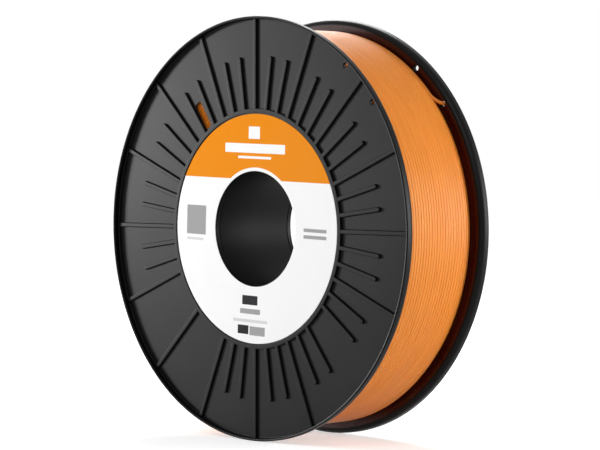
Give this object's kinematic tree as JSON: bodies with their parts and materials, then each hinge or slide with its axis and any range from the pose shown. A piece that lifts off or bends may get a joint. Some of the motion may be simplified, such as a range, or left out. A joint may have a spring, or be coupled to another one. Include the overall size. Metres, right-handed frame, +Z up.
{
  "type": "filament spool",
  "caption": "Wide round spool with ribbed flanges, an open bore through its hub, a round label in the front hub and a full load of filament whose end is hooked through the rear flange.",
  "frame": {"origin": "centre of the bore at half the spool's width", "axes": "+Y along the bore, away from the labelled face; +Z up; +X to the right as seen from the labelled face"},
  "size_m": [0.2, 0.055, 0.2],
  "materials": {
    "spool_plastic": "moulded black, semi-gloss",
    "label_film": "printed film, white with an orange upper half",
    "filament": "extruded, satin"
  },
  "bodies": {
    "root": {"front_flange": "spool_plastic", "rear_flange": "spool_plastic", "bore_sleeve": "spool_plastic", "winding_drum": "spool_plastic", "front_label": "label_film", "wound_filament": "filament", "outer_turns": "filament", "inner_end": "filament"}
  },
  "joints": []
}
